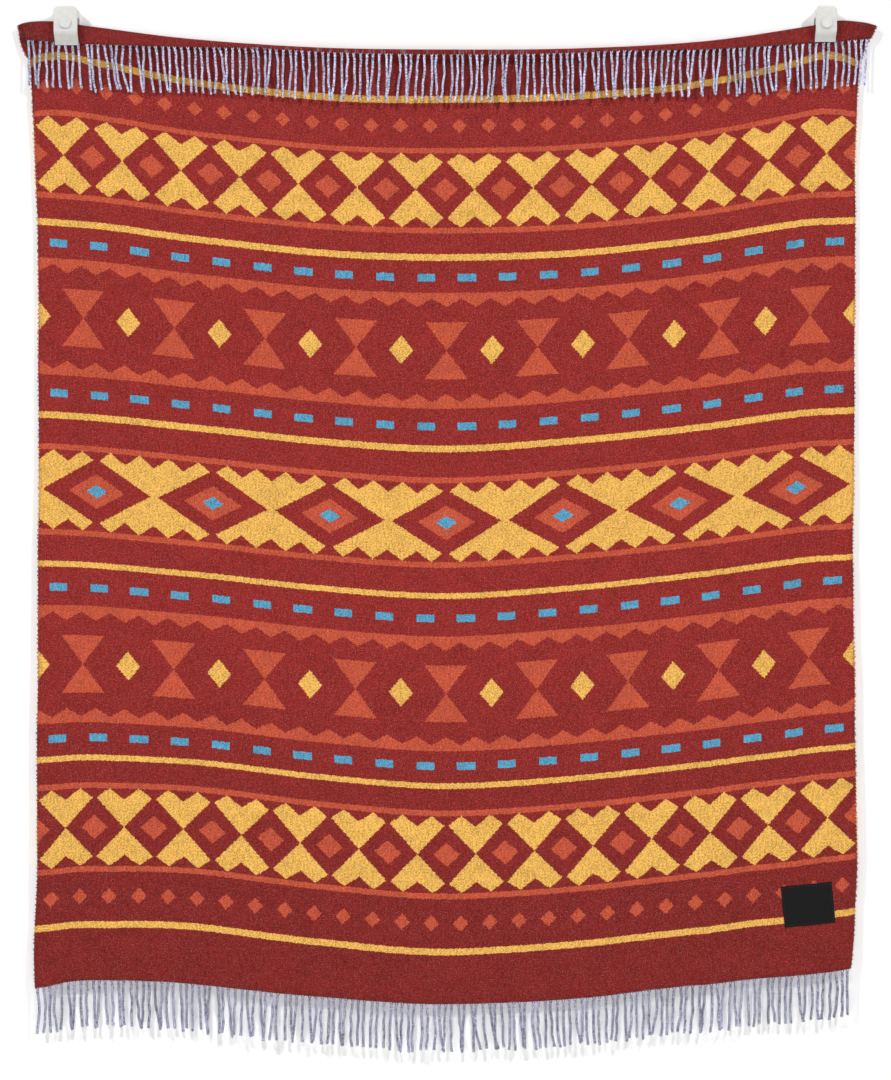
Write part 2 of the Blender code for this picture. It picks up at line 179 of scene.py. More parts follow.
# Upright sections, in millimetres: heights below the origin of the fold, the turned-over end and four weft
# lines; the fold's radius; and how far the cloth behind the fold is from the wall.
Section = namedtuple("Section", "across fold flap roll stand upper middle lower hem")
SECTIONS = (
    Section(0.000, -1, 23.5, 2.2, 6.5, 230, 679, 1511, 1609),
    Section(0.006, -5, 24, 2.1, 6.4, 230.6, 679.3, 1510, 1607.5),
    Section(0.020, -8, 25, 1.9, 6.2, 232, 680, 1508, 1604),
    Section(0.045, -8, 28, 1.5, 5.8, 235, 682, 1503, 1596),
    Section(0.080, -0.5, 30.5, 1.8, 6.0, 240, 686, 1501, 1593),
    Section(0.200, 22, 36.5, 4.0, 7.0, 263, 703, 1507, 1602),
    Section(0.350, 38, 41, 7.5, 8.5, 285, 725, 1532, 1622),
    Section(0.500, 42, 44.5, 9.0, 9.0, 292, 737, 1548, 1634),
    Section(0.650, 39.5, 44, 7.5, 8.5, 286, 724, 1536, 1626),
    Section(0.800, 26, 40.5, 4.0, 7.0, 265, 703, 1514, 1604),
    Section(0.920, 0.5, 29.5, 1.8, 6.0, 238, 680, 1494, 1588),
    Section(0.955, -9.5, 26, 1.5, 5.8, 232, 675, 1487, 1583),
    Section(0.985, -6.5, 23, 1.9, 6.2, 230, 673, 1483, 1578),
    Section(1.000, -1, 21.5, 2.2, 6.5, 229, 672, 1480, 1575),
)
WEFT_LINES = (("upper", 274 * MM), ("middle", 716 * MM), ("lower", 1527 * MM), ("hem", CLOTH_LENGTH))

# The selvages' places at each distance below the fold, in millimetres.
Selvage = namedtuple("Selvage", "down left right")
SELVAGES = (
    Selvage(0, -716, 720),
    Selvage(25, -713, 706),
    Selvage(45, -706, 698),
    Selvage(58, -698, 694),
    Selvage(95, -694, 689),
    Selvage(175, -691, 686),
    Selvage(355, -684, 684),
    Selvage(640, -681, 684),
    Selvage(900, -681, 681),
    Selvage(1160, -683, 682),
    Selvage(1415, -684, 685),
    Selvage(1525, -688, 682),
    Selvage(1605, -685, 675),
)
FLAP_END = Selvage(0, -706, 711)
SELVAGE_WAVES = ((0.0061, 0.7), (0.0187, 0.5), (0.041, 0.3))
# How far the cloth is from the wall in its middle and at the lower end, and where it has come to that.
HANG_STAND = 13 * MM
HEM_STAND = 19 * MM
LEVEL_BELOW_FOLD = 45 * MM
HANG_DOWN = 400 * MM
# The selvages turn a little towards the wall.
SELVAGE_TURN = 4.5 * MM
SELVAGE_TURN_WIDTH = 45 * MM
# The lower end curls a little to the front: a shallow hollow runs along above it.
CURL_HOLLOW = 4.0 * MM
CURL_PLACE = 105 * MM
CURL_WIDTH = 55 * MM

# Soft folds, in millimetres: each runs from (x_top, top) to (x_foot, foot), where top and foot are distances
# below the fold. A negative height is a hollow. The first ones are in the solids too.
Crease = namedtuple("Crease", "name x_top top x_foot foot width height")
CREASE_FADE = 140
RIPPLE_FADE = 120 * MM
CREASES = (
    Crease("from the left clip", -625, 40, -424, 1080, 62, 6.0),
    Crease("left selvage hollow", -660, 90, -600, 980, 48, -3.5),
    Crease("second from the left", -350, 300, -300, 960, 58, 4.5),
    Crease("hollow left of the middle", -110, 420, -40, 940, 52, -4.5),
    Crease("right of the middle", 250, 560, 185, 1040, 85, 3.5),
    Crease("from the right clip", 622, 40, 470, 1000, 66, 5.0),
    Crease("right selvage hollow", 655, 120, 610, 1150, 44, -3.5),
    Crease("left end of the hem", -560, 1180, -588, 1800, 46, 5.5),
    Crease("hem hollow on the left", -430, 1150, -470, 1800, 66, -4.0),
    Crease("hem left of the middle", -90, 1230, -60, 1800, 60, 3.5),
    Crease("hem right of the middle", 90, 1120, 70, 1800, 42, -3.0),
    Crease("hem hollow by the label", 505, 1160, 522, 1800, 40, -5.0),
    Crease("under the label", 640, 1180, 650, 1800, 70, 3.0),
    Crease("drag from the left clip", -600, -60, -455, 420, 26, 1.5),
    Crease("below the left clip", -660, -50, -640, 300, 20, 1.3),
    Crease("drag from the right clip", 606, -60, 486, 400, 24, 1.4),
    Crease("below the right clip", 655, -50, 640, 280, 20, 1.2),
    Crease("soft left ridge", -500, 700, -530, 1350, 34, 1.4),
    Crease("soft middle ridge", 20, 130, 60, 900, 40, 1.3),
    Crease("soft right ridge", 380, 180, 352, 980, 36, 1.4),
    Crease("left of the label", 430, 1000, 440, 1800, 30, 1.6),
    Crease("small hem ridge left", -300, 1290, -286, 1800, 26, 1.5),
    Crease("small hem ridge middle", -190, 1330, -170, 1800, 22, -1.4),
    Crease("small hem ridge right", 250, 1310, 262, 1800, 28, 1.6),
)
# Slow unevenness of the whole sheet: turns per metre across and down, and height in millimetres.
RIPPLES = ((2.3, 0.7, 0.9), (5.1, -1.3, 0.5), (8.7, 2.9, 0.28), (13.9, -3.7, 0.16), (4.3, 6.1, 0.25))


def ease(share):
    """0 to 1, level at both ends, and held there outside them."""
    share = np.clip(share, 0.0, 1.0)
    return share * share * (3 - 2 * share)


def smooth(rows, column, at):
    """A table's column at these places, on a smooth curve through its rows. The first column is the place."""
    places = np.array([row[0] for row in rows], float)
    values = np.array([getattr(row, column) for row in rows], float)
    rank = np.arange(len(rows))
    low, high = np.maximum(rank - 1, 0), np.minimum(rank + 1, len(rows) - 1)
    slopes = (values[high] - values[low]) / (places[high] - places[low])
    k = np.clip(np.searchsorted(places, at, side="right") - 1, 0, len(rows) - 2)
    span = places[k + 1] - places[k]
    t = (at - places[k]) / span
    rise = values[k + 1] - values[k]
    start, end = slopes[k] * span, slopes[k + 1] * span
    return values[k] + t * (start + t * (3 * rise - 2 * start - end + t * (start + end - 2 * rise)))


def fold_height(x, down):
    """How far soft folds and ripples bring the cloth forward at x, this far below the fold, in metres."""
    ripple = sum(
        height * np.sin(2 * np.pi * (across * x + along * down) + 5 * across)
        for across, along, height in RIPPLES
    )
    total = ripple * ease(down / RIPPLE_FADE)
    x, down = x / MM, down / MM
    for crease in CREASES:
        share = np.clip((down - crease.top) / (crease.foot - crease.top), 0, 1)
        middle = crease.x_top + (crease.x_foot - crease.x_top) * share
        fade = ease((down - crease.top) / CREASE_FADE) * ease((crease.foot - down) / CREASE_FADE)
        total = total + crease.height * fade * np.exp(-(((x - middle) / crease.width) ** 2))
    return total * MM


def roll_of(across):
    """The fold here: radius, height of its centre, straight run in front, length to its crown."""
    radius = smooth(SECTIONS, "roll", across) * MM
    spring = -smooth(SECTIONS, "fold", across) * MM - CLOTH_THICKNESS / 2 - radius
    flap_end = -smooth(SECTIONS, "flap", across) * MM
    straight = np.maximum(spring - flap_end, 0.0)
    turn = np.arccos(np.clip((flap_end - spring) / radius, 0.0, 1.0))
    return radius, spring, straight, straight + turn * radius


def hang(across, along, start, spring):
    """The cloth below the fold: plumb at first, then eased onto the weft lines, and off the wall."""
    down = along - start
    row = np.clip(down / MM, 0, SELVAGES[-1].down)
    wave = sum(height * np.sin(turns * row + 9 * turns) for turns, height in SELVAGE_WAVES)
    left = (smooth(SELVAGES, "left", row) + wave) * MM
    right = (smooth(SELVAGES, "right", row) + wave) * MM
    x = left + (right - left) * across
    below = down - LEVEL_BELOW_FOLD
    stand = smooth(SECTIONS, "stand", across) * MM
    stand = stand + (HANG_STAND - stand) * ease(below / HANG_DOWN)
    stand = stand + (HEM_STAND - HANG_STAND) * ease((below - HANG_DOWN) / (CLOTH_LENGTH - HANG_DOWN))
    turn = SELVAGE_TURN * np.exp(-np.minimum(x - left, right - x) / SELVAGE_TURN_WIDTH)
    stand = stand + fold_height(x, down) - turn * ease(below / HANG_DOWN)
    stand = stand - CURL_HOLLOW * np.exp(-(((CLOTH_LENGTH - CURL_PLACE - along) / CURL_WIDTH) ** 2))
    reached, height = start, spring
    for line, where in WEFT_LINES:
        after = -smooth(SECTIONS, line, across) * MM
        share = ease((along - reached) / (where - reached))
        slack = (after + where) - (height + reached)
        total = slack * share if line == "upper" else total + slack * share
        reached, height = where, after
    return x, -stand, spring + start + total - along


def drape(across, along):
    """Places of the cloth's middle surface, as an array of points."""
    across, along = np.broadcast_arrays(np.asarray(across, float), np.asarray(along, float))
    radius, spring, straight, crown = roll_of(across)
    start = crown + radius * np.pi / 2
    below = np.stack(hang(across, np.maximum(along, start), start, spring), -1)
    to_fold = np.clip(along / crown, 0, 1)
    left = FLAP_END.left + (SELVAGES[0].left - FLAP_END.left) * to_fold
    right = FLAP_END.right + (SELVAGES[0].right - FLAP_END.right) * to_fold
    x = (left + (right - left) * across) * MM
    behind = -smooth(SECTIONS, "stand", across) * MM
    angle = (crown - along) / radius
    flap = along <= straight
    y = np.where(flap, behind - 2 * radius, behind - radius - radius * np.sin(angle))
    z = np.where(flap, spring - straight + along, spring + radius * np.cos(angle))
    return np.where((along >= start)[..., None], below, np.stack([x, y, z], -1))


# A point is looked for on the cloth from a first guess, this much longer than its depth, in this many steps.
FIRST_GUESS = 30 * MM
SEARCH_STEPS = 14


def on_body(x, z):
    """Points of the hanging cloth at these places seen from the front."""
    across, along = x / CLOTH_WIDTH + 0.5, FIRST_GUESS - z
    for _ in range(SEARCH_STEPS):
        point = drape(across, along)
        across = across + (x - point[..., 0]) / CLOTH_WIDTH
        along = along + point[..., 2] - z
    return drape(across, along)


def grid_along(across, row):
    """How far along the cloth a row of the grid is: the turned-over end, the back of the fold, the body."""
    radius, _, _, crown = roll_of(across)
    start = crown + radius * np.pi / 2
    front = crown * (1 - (1 - np.clip(row / FRONT_ROWS, 0, 1)) ** FRONT_CROWDING)
    back = (start - crown) * np.clip((row - FRONT_ROWS) / BACK_ROWS, 0, 1)
    body = (CLOTH_LENGTH - start) * np.clip((row - FRONT_ROWS - BACK_ROWS) / BODY_ROWS, 0, 1)
    return front + back + body


# The weave. Wool colours as linear light, and the design as distances from the middle of the length, in
# millimetres: it is the same towards both ends. Each row gives the colour on the face, then on the reverse,
# and for the plain fields that of the selvages' loops.
DYES = {
    "red": (0.255, 0.0175, 0.0142, 1),
    "orange": (0.475, 0.074, 0.033, 1),
    "gold": (0.73, 0.402, 0.083, 1),
    "blue": (0.077, 0.300, 0.468, 1),
    "lilac": (0.52, 0.535, 0.70, 1),
}
# The red is painted darker towards the lower end, between these distances from the turned-over end, as
# painted shade, because the photo is darker there than the lamps here make it.
RED_IN_PAINTED_SHADE = (0.188, 0.0130, 0.0106, 1)
RED_PAINTED_SHADE_SPAN = (950, 1620)
# Shares of painted shade, by which the colour is darker: along the top of the fold, where it turns away from
# the light; on the turned-over end, and more so near its corners; and where that end and its strands keep
# light off the cloth.
CREST_SHADE = 0.45
CREST_DEPTH = 1.3 * MM
FLAP_SHADE = 0.23
CORNER_SHADE = 0.25
CORNER_SHADE_WIDTH = 40 * MM
UNDER_FLAP_SHADE = 0.42
UNDER_FLAP_DEPTH = 9 * MM
STRAND_SHADE = 0.19
STRAND_SHADE_FADES = (60 * MM, 84 * MM)
# From here on in the weave all lengths are in millimetres.
HALF_LENGTH = 810
THREAD = 1.97
PICK = 1.57
EDGE_UNEVENNESS = 1.5
Field = namedtuple("Field", "start face reverse selvage")
FIELDS = (
    Field(0, "gold", "red", "gold"),
    Field(66, "red", "red", "red"),
    Field(196, "red", "orange", "orange"),
    Field(376, "red", "red", "red"),
    Field(484, "gold", "red", "gold"),
    Field(624, "red", "red", "red"),
)
Line = namedtuple("Line", "start end dye")
LINES = (
    Line(66, 75.5, "orange"),
    Line(118, 128, "gold"),
    Line(190.5, 200, "orange"),
    Line(372, 381.5, "orange"),
    Line(435, 445, "gold"),
    Line(480.5, 490, "orange"),
    Line(618, 627.5, "orange"),
    Line(711, 723, "gold"),
)
WIDTH_MM = 1370
Motif = namedtuple("Motif", "shape number shift middle half_width half_height start end face reverse")
MOTIFS = (
    Motif("Lozenge", 28, 0.5, 66, 24.5, 18, 0, 66, "red", "gold"),
    Motif("Lozenge", 7, 0.5, 0, 92, 55, 0, 66, "red", "gold"),
    Motif("Lozenge", 7, 0.5, 0, 48, 29, 0, 66, "orange", "orange"),
    Motif("Lozenge", 7, 0.5, 0, 18, 11, 0, 66, "blue", "blue"),
    Motif("Block", 20, 0.0, 160, 15, 6.5, 128, 192, "blue", "blue"),
    Motif("Lozenge", 28, 0.5, 200, 24.5, 14, 200, 372, "orange", "red"),
    Motif("Lozenge", 28, 0.5, 372, 24.5, 14, 200, 372, "orange", "red"),
    Motif("Hourglass", 9, 0.5, 286, 36, 47, 200, 372, "orange", "red"),
    Motif("Lozenge", 9, 0.0, 286, 20, 24, 200, 372, "gold", "gold"),
    Motif("Block", 20, 0.0, 407, 15, 6.5, 380, 435, "blue", "blue"),
    Motif("Lozenge", 28, 0.5, 490, 24.5, 18, 490, 618, "red", "gold"),
    Motif("Lozenge", 28, 0.5, 618, 24.5, 18, 490, 618, "red", "gold"),
    Motif("Lozenge", 14, 0.5, 554, 49, 52, 490, 618, "red", "gold"),
    Motif("Lozenge", 14, 0.5, 554, 22, 20, 490, 618, "orange", "orange"),
    Motif("Lozenge", 28, 0.0, 669, 13, 13.5, 627.5, 711, "orange", "orange"),
)


def new_group(name, takes, gives):
    """A node group with these inputs, as (name, type, value), and outputs, as (name, type)."""
    group = bpy.data.node_groups.new(name, "ShaderNodeTree")
    for title, kind, value in takes:
        made = group.interface.new_socket(title, in_out="INPUT", socket_type="NodeSocket" + kind)
        if value is not None:
            made.default_value = value
    for title, kind in gives:
        group.interface.new_socket(title, in_out="OUTPUT", socket_type="NodeSocket" + kind)
    return group, group.nodes.new("NodeGroupInput").outputs, group.nodes.new("NodeGroupOutput").inputs


def work(tree, operation, *values):
    """A Math node on these values or sockets."""
    return add(tree, "Math", values, operation=operation)


def mix(tree, share, first, second):
    """The first colour, with this share of the second."""
    return add(tree, "Mix", {0: share, 6: first, 7: second}, output=2, data_type="RGBA")


# Threads: a place on the flat cloth is moved to the middle of its thread, so edges run in small steps.
threads, given, made = new_group(
    "threads",
    [("Place", "Vector", None), ("Thread", "Float", THREAD), ("Pick", "Float", PICK)],
    [("Across", "Float"), ("From Middle", "Float"), ("Thread Number", "Float")],
)
parts = add(threads, "SeparateXYZ", [given["Place"]])
place_x, place_y = parts, parts.node.outputs["Y"]
thread_number = work(threads, "FLOOR", work(threads, "DIVIDE", place_x, given["Thread"]))
uneven = add(threads, "TexWhiteNoise", {"W": thread_number}, noise_dimensions="1D")
shift = work(threads, "MULTIPLY", work(threads, "SUBTRACT", uneven, 0.5), EDGE_UNEVENNESS)
pick_number = work(threads, "DIVIDE", work(threads, "ADD", place_y, shift), given["Pick"])
pick_number = work(threads, "FLOOR", pick_number)
across = work(threads, "MULTIPLY", work(threads, "ADD", thread_number, 0.5), given["Thread"])
along = work(threads, "MULTIPLY", work(threads, "ADD", pick_number, 0.5), given["Pick"])
threads.links.new(work(threads, "SUBTRACT", across, WIDTH_MM / 2), made["Across"])
middle = work(threads, "ABSOLUTE", work(threads, "SUBTRACT", along, HALF_LENGTH))
threads.links.new(middle, made["From Middle"])
threads.links.new(thread_number, made["Thread Number"])

# A row of like figures: a lozenge, an hourglass or a plain block, one in each of a number of equal spaces.
figures, given, made = new_group(
    "row of figures",
    [
        ("Across", "Float", 0),
        ("From Middle", "Float", 0),
        ("Number", "Float", 10),
        ("Shift", "Float", 0),
        ("Middle", "Float", 0),
        ("Half Width", "Float", 20),
        ("Half Height", "Float", 20),
        ("Start", "Float", 0),
        ("End", "Float", HALF_LENGTH),
    ],
    [("Lozenge", "Float"), ("Hourglass", "Float"), ("Block", "Float")],
)
pitch = work(figures, "DIVIDE", WIDTH_MM, given["Number"])
turn = work(figures, "ADD", work(figures, "DIVIDE", given["Across"], pitch), given["Shift"])
turn = work(figures, "FRACT", turn)
aside = work(figures, "MULTIPLY", work(figures, "ABSOLUTE", work(figures, "SUBTRACT", turn, 0.5)), pitch)
aside = work(figures, "DIVIDE", aside, given["Half Width"])
above = work(figures, "ABSOLUTE", work(figures, "SUBTRACT", given["From Middle"], given["Middle"]))
above = work(figures, "DIVIDE", above, given["Half Height"])
within = work(figures, "GREATER_THAN", given["From Middle"], given["Start"])
within = work(figures, "MULTIPLY", within, work(figures, "LESS_THAN", given["From Middle"], given["End"]))
tall = work(figures, "MULTIPLY", work(figures, "LESS_THAN", above, 1), within)
lozenge = work(figures, "LESS_THAN", work(figures, "ADD", aside, above), 1)
figures.links.new(work(figures, "MULTIPLY", lozenge, within), made["Lozenge"])
for title, side in (("Hourglass", above), ("Block", 1)):
    inside = work(figures, "LESS_THAN", aside, side)
    figures.links.new(work(figures, "MULTIPLY", inside, tall), made[title])

# A plain band between two distances from the middle.
plain_band, given, made = new_group(
    "plain band",
    [("From Middle", "Float", 0), ("Start", "Float", 0), ("End", "Float", HALF_LENGTH)],
    [("Band", "Float")],
)
after = work(plain_band, "GREATER_THAN", given["From Middle"], given["Start"])
before = work(plain_band, "LESS_THAN", given["From Middle"], given["End"])
plain_band.links.new(work(plain_band, "MULTIPLY", after, before), made["Band"])

# Napped wool: flecks, drawn fibres, slow mottling and the twill's ribs make the colour lighter or darker, by
# these strengths, and raise the surface by these. A few fibres are paler.
FLECK_LIGHT, DRAWN_LIGHT, MOTTLING_LIGHT, TWILL_LIGHT = 2.7, 1.10, 0.40, 0.06
FLECK_RELIEF, DRAWN_RELIEF, TWILL_RELIEF = 0.7, 0.45, 0.09
TWILL_SLANT = 1.45
PALE_FIBRE = (0.62, 0.40, 0.42, 1)
PALE_SHARE = 0.26
nap, given, made = new_group(
    "napped wool",
    [
        ("Place", "Vector", None),
        ("Color", "Color", (0.5, 0.5, 0.5, 1)),
        ("Fleck Size", "Float", 2.0),
        ("Unevenness", "Float", 1.0),
    ],
    [("Color", "Color"), ("Height", "Float")],
)
place = given["Place"]
fleck_scale = work(nap, "DIVIDE", 1, given["Fleck Size"])
flecks = add(nap, "TexNoise", {"Vector": place, "Scale": fleck_scale, "Detail": 3, "Roughness": 0.65})
drawn_place = add(nap, "VectorMath", [place, (1.0, 0.22, 1.0)], operation="MULTIPLY")
drawn = add(nap, "TexNoise", {"Vector": drawn_place, "Scale": 0.30, "Detail": 4, "Roughness": 0.6})
slow = add(nap, "TexNoise", {"Vector": place, "Scale": 0.021, "Detail": 3, "Roughness": 0.55})
parts = add(nap, "SeparateXYZ", [place])
slant = work(nap, "MULTIPLY", parts.node.outputs["Y"], TWILL_SLANT)
twill = work(nap, "SINE", work(nap, "ADD", parts, slant))
light = work(nap, "MULTIPLY", twill, TWILL_LIGHT)
for noise, strength in ((flecks, FLECK_LIGHT), (drawn, DRAWN_LIGHT), (slow, MOTTLING_LIGHT)):
    light = work(nap, "ADD", light, work(nap, "MULTIPLY", work(nap, "SUBTRACT", noise, 0.5), strength))
value = work(nap, "ADD", work(nap, "MULTIPLY", light, given["Unevenness"]), 1)
shaded = add(nap, "HueSaturation", {"Value": value, "Color": given["Color"]})
pale_place = add(nap, "VectorMath", [place, (31.7, 11.3, 5.1)], operation="ADD")
pale = add(nap, "TexNoise", {"Vector": pale_place, "Scale": 0.62, "Detail": 1, "Roughness": 0.5})
pale = add(nap, "MapRange", [pale, 0.60, 0.72, 0.0, PALE_SHARE])
nap.links.new(mix(nap, pale, shaded, PALE_FIBRE), made["Color"])
height = work(nap, "MULTIPLY", twill, TWILL_RELIEF)
for noise, strength in ((flecks, FLECK_RELIEF), (drawn, DRAWN_RELIEF)):
    height = work(nap, "ADD", height, work(nap, "MULTIPLY", noise, strength))
nap.links.new(height, made["Height"])


def in_millimetres(tree, uv_map=None):
    """A point's place on its piece in millimetres, or on the piece as it lies flat in this UV map."""
    metres = add(tree, "UVMap", uv_map=uv_map) if uv_map else add(tree, "TexCoord", output="Object")
    return add(tree, "VectorMath", {0: metres, "Scale": 1 / MM}, operation="SCALE")


def coat(tree, surface, height, strength, depth, sockets):
    """The material's surface, with these sockets and a relief of this strength and depth."""
    bump = add(tree, "Bump", {"Strength": strength, "Distance": depth, "Height": height})
    tree.links.new(add(tree, "BsdfPrincipled", {**sockets, "Normal": bump}), surface)


def wool_coat(tree, surface, wool, strength, depth, sockets):
    """A surface of napped wool: barely glossy, with a relief of this strength and depth."""
    plain = {"Base Color": wool, "Roughness": 0.93, "Specular IOR Level": 0.18, "Sheen Roughness": 0.5}
    coat(tree, surface, wool.node.outputs["Height"], strength, depth, {**plain, **sockets})


# Lilac warp ends show a little between the last picks, where the fringe starts: how unevenly they reach in,
# how much of them is hidden, and how strongly the rest shows.
WARP_END_SPREAD = 5.0
WARP_END_HIDDEN = 3.3
WARP_END_SHARE = 0.22


def banded(tree, middle, dyes, side):
    """The colour of the fields and lines at this distance from the middle of the length."""
    colour = dyes["red"]
    fields = [(field.start, HALF_LENGTH + THREAD, getattr(field, side)) for field in FIELDS]
    for start, end, dye in [*fields, *LINES]:
        mask = add(tree, "Group", [middle, start, end], node_tree=plain_band)
        colour = mix(tree, mask, colour, dyes[dye])
    return colour


def woven_wool(name, side):
    """The blanket's wool, for its face or its reverse."""
    material, tree, surface = new_material(name)
    place = in_millimetres(tree, "flat cloth")
    across = add(tree, "Group", [place, THREAD, PICK], node_tree=threads)
    middle, number = across.node.outputs["From Middle"], across.node.outputs["Thread Number"]
    down = add(tree, "SeparateXYZ", [place], output="Y")
    # Painted shade: the red darkens towards the lower end.
    depth = add(tree, "MapRange", [down, *RED_PAINTED_SHADE_SPAN, 0, 1], interpolation_type="SMOOTHSTEP")
    dyes = {**DYES, "red": mix(tree, depth, DYES["red"], RED_IN_PAINTED_SHADE)}
    colour = banded(tree, middle, dyes, side)
    for motif in MOTIFS:
        given = [across, middle, *motif[1:8]]
        mask = add(tree, "Group", given, output=motif.shape, node_tree=figures)
        colour = mix(tree, mask, colour, dyes[getattr(motif, side)])

    warp_end = add(tree, "TexWhiteNoise", {"W": number}, noise_dimensions="1D")
    reach = work(tree, "SUBTRACT", work(tree, "MULTIPLY", warp_end, WARP_END_SPREAD), WARP_END_HIDDEN)
    ends = work(tree, "GREATER_THAN", work(tree, "ADD", middle, reach), HALF_LENGTH)
    colour = mix(tree, work(tree, "MULTIPLY", ends, WARP_END_SHARE), colour, DYES["lilac"])

    # The painted shade stored on the cloth's points darkens its colour.
    shade = add(tree, "Attribute", output="Fac", attribute_name="shade")
    colour = add(tree, "HueSaturation", {"Value": work(tree, "SUBTRACT", 1, shade), "Color": colour})
    wool = add(tree, "Group", [place, colour, 2.7, 1.0], node_tree=nap)
    sheen = {"Sheen Weight": 0.10, "Sheen Roughness": 0.45, "Sheen Tint": (1.0, 0.80, 0.76, 1)}
    wool_coat(tree, surface, wool, 0.55, 0.9 * MM, sheen)
    return material


def cloth_shade(across, row, points):
    """By what share painted shade darkens the colour at each point of the cloth's grid."""
    radius, spring, _, _ = roll_of(across)
    below_flap = -smooth(SECTIONS, "flap", across) * MM - points[:, 2]
    strands_end, light_again = STRAND_SHADE_FADES
    under = UNDER_FLAP_SHADE * np.exp(-np.maximum(below_flap, 0) / UNDER_FLAP_DEPTH)
    under += STRAND_SHADE * (1 - ease((below_flap - strands_end) / (light_again - strands_end)))
    to_selvage = np.minimum(across, 1 - across) * CLOTH_WIDTH
    on_flap = FLAP_SHADE + CORNER_SHADE * np.exp(-to_selvage / CORNER_SHADE_WIDTH)
    parts = [row <= FRONT_ROWS, row > FRONT_ROWS + BACK_ROWS]
    on_crest = CREST_SHADE * np.exp((points[:, 2] - spring - radius) / CREST_DEPTH)
    return np.select(parts, [on_flap, under], 0) + on_crest


bm = bmesh.new()
flat_cloth = bm.loops.layers.uv.new("flat cloth")
rows = FRONT_ROWS + BACK_ROWS + BODY_ROWS
bmesh.ops.create_grid(bm, x_segments=COLUMNS, y_segments=rows, size=0.5)
grid_across = np.array([vert.co.x + 0.5 for vert in bm.verts])
grid_row = np.array([round((vert.co.y + 0.5) * rows) for vert in bm.verts])
grid_length = grid_along(grid_across, grid_row)
points = drape(grid_across, grid_length)
# Each point of the cloth keeps its share of painted shade.
shade = bm.verts.layers.float.new("shade")
for vert, point, deeper in zip(bm.verts, points, cloth_shade(grid_across, grid_row, points)):
    vert.co = point
    vert[shade] = deeper
bm.verts.index_update()
for face in bm.faces:
    for loop in face.loops:
        k = loop.vert.index
        loop[flat_cloth].uv = (grid_across[k] * CLOTH_WIDTH, grid_length[k])
# Across then along is the wrong way round for a face that looks into the room.
bmesh.ops.reverse_faces(bm, faces=bm.faces)
face, reverse = woven_wool("wool, face", "face"), woven_wool("wool, reverse", "reverse")
cloth = finished("blanket_cloth", bm, face, reverse)
thickness = cloth.modifiers.new("Thickness", "SOLIDIFY")
thickness.thickness = CLOTH_THICKNESS
thickness.offset = 0.0
thickness.use_even_offset = True
thickness.material_offset = 1
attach(cloth, "root")
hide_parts("blanket")


# The selvages: at each edge of the cloth the weft turns back in small uneven loops of napped yarn, in the
# colour that is woven with the red there. They are part of the weave, and sit half sunk in the edge.
LOOP_PITCH = 6.6 * MM
LOOP_POINTS = 9
LOOP_REACH = 2.1 * MM
LOOP_DEPTH = 1.75 * MM
LOOP_YARN = 0.62 * MM
LOOP_SUNK = 0.5 * MM
LOOP_END = 2 * MM
# How unevenly the loops follow each other, as a share of their pitch, and how far each one reaches.
LOOP_WANDER = 0.45
LOOP_REACHES = (0.6, 1.35)


def yarn_mesh(name, paths, radii, sides=1, marks=None):
    """A mesh of round yarns, one along each line of points, with a radius and a mark at each point."""
    curve = bpy.data.curves.new(name, "CURVE")
    curve.dimensions = "3D"
    curve.bevel_depth = 1.0
    curve.bevel_resolution = sides
    curve.use_fill_caps = True
    for path, radius in zip(paths, radii):
        spline = curve.splines.new("POLY")
        spline.points.add(len(path) - 1)
        spline.points.foreach_set("co", np.column_stack([path, np.ones(len(path))]).ravel())
        spline.points.foreach_set("radius", np.broadcast_to(radius, len(path)).astype(float))
    holder = bpy.data.objects.new(name, curve)
    bpy.context.scene.collection.objects.link(holder)
    shape = holder.evaluated_get(bpy.context.evaluated_depsgraph_get())
    mesh = bpy.data.meshes.new_from_object(shape)
    bpy.data.objects.remove(holder)
    bm = bmesh.new()
    bm.from_mesh(mesh)
    if marks is not None:
        # The end caps come first, those of the last yarn before the others, and then the rings in order.
        caps = [mark[end] for mark in reversed(marks) for end in (-1, 0)]
        by_ring = np.concatenate([caps, *marks])
        ring = len(bm.verts) // len(by_ring)
        layer = bm.verts.layers.float.new("yarn mark")
        for vert in bm.verts:
            vert[layer] = by_ring[vert.index // ring]
    bmesh.ops.remove_doubles(bm, verts=bm.verts, dist=MM / 1000)
    return bm


def selvage_yarn(name):
    """Wool of the selvage loops: each loop is marked with its distance from the middle of the length."""
    material, tree, surface = new_material(name)
    place = in_millimetres(tree)
    from_middle = add(tree, "Attribute", output="Fac", attribute_name="yarn mark")
    colour = banded(tree, from_middle, DYES, "selvage")
    wool = add(tree, "Group", [place, colour, 1.2, 1.0], node_tree=nap)
    wool_coat(tree, surface, wool, 0.5, 0.4 * MM, {"Sheen Weight": 0.2})
    return material


